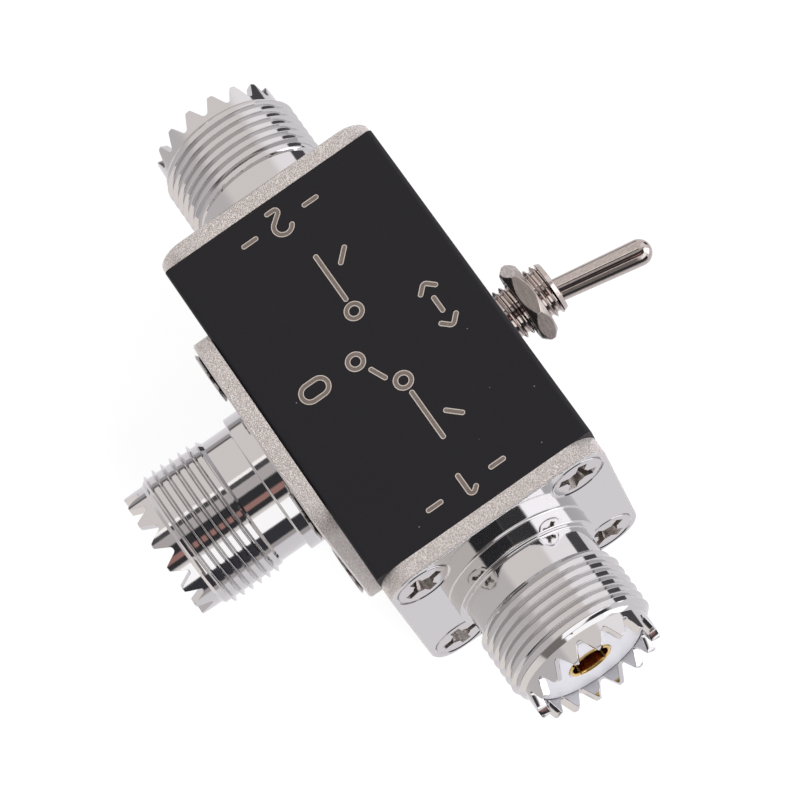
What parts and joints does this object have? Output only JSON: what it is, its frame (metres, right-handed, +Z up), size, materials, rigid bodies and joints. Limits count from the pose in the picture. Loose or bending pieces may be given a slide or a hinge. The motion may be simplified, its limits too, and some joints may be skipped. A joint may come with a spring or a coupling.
{
  "type": "coaxial antenna switch",
  "caption": "Two-way coaxial switch: a black metal block with threaded sockets on both ends and one side, and a miniature toggle on the other side that picks the end socket.",
  "frame": {"origin": "centre of the block's underside", "axes": "+X along the block towards the first end socket, +Y towards the toggle, +Z up"},
  "size_m": [0.0738, 0.0588, 0.0254],
  "materials": {
    "black_anodised": "satin black anodised, fine specks",
    "nickel_shell": "satin nickel plate, coarse grain on the flange's edges",
    "screw_nickel": "nickel plate",
    "white_insulator": "smooth white",
    "gold_contact": "gold plate",
    "tinned_wire": "tinned copper",
    "bushing_nickel": "bright nickel",
    "nut_nickel": "brushed nickel",
    "frame_steel": "zinc plated sheet",
    "case_plastic": "moulded red plastic",
    "lever_nickel": "bright nickel with fine grain",
    "pin_steel": "drawn steel",
    "plunger_plastic": "natural nylon",
    "spring_steel": "spring wire",
    "silver_contact": "silver plate"
  },
  "bodies": {
    "root": {"body_block": "black_anodised", "switch_bushing": "bushing_nickel", "bushing_nut": "nut_nickel", "switch_frame": "frame_steel", "switch_case": "case_plastic", "terminal_common": "silver_contact", "terminal_ant1": "silver_contact", "terminal_ant2": "silver_contact", "ant1_shell": "nickel_shell", "ant1_insulator": "white_insulator", "ant1_contact": "gold_contact", "ant1_screws": "screw_nickel", "ant1_link": "tinned_wire", "ant2_shell": "nickel_shell", "ant2_insulator": "white_insulator", "ant2_contact": "gold_contact", "ant2_screws": "screw_nickel", "ant2_link": "tinned_wire", "tx_shell": "nickel_shell", "tx_insulator": "white_insulator", "tx_contact": "gold_contact", "tx_screws": "screw_nickel", "tx_link": "tinned_wire"},
    "lever": {"switch_lever": "lever_nickel", "lever_pin": "pin_steel", "plunger_spring": "spring_steel"},
    "plunger": {"plunger": "plunger_plastic"},
    "rocker": {"rocker_contact": "silver_contact"}
  },
  "joints": [
    {"name": "lever_tilt", "type": "hinge", "parent": "root", "child": "lever", "pos_m": [0, 0.0153, 0.0127], "axis": [0, 0, 1], "range_deg": [0, 22]},
    {"name": "rocker_tilt", "type": "hinge", "parent": "root", "child": "rocker", "pos_m": [0, 0.0025, 0.0127], "axis": [0, 0, 1], "range_deg": [-16, 0]},
    {"name": "plunger_slide", "type": "slide", "parent": "lever", "child": "plunger", "axis": [0.1908, 0.9816, 0], "range_m": [0, 0.0004], "stiffness_N_per_m": 100, "deforming": ["plunger_spring"]}
  ],
  "couplings": [
    {"joint": "rocker_tilt", "follows": "lever_tilt", "ratio": -0.727}
  ]
}
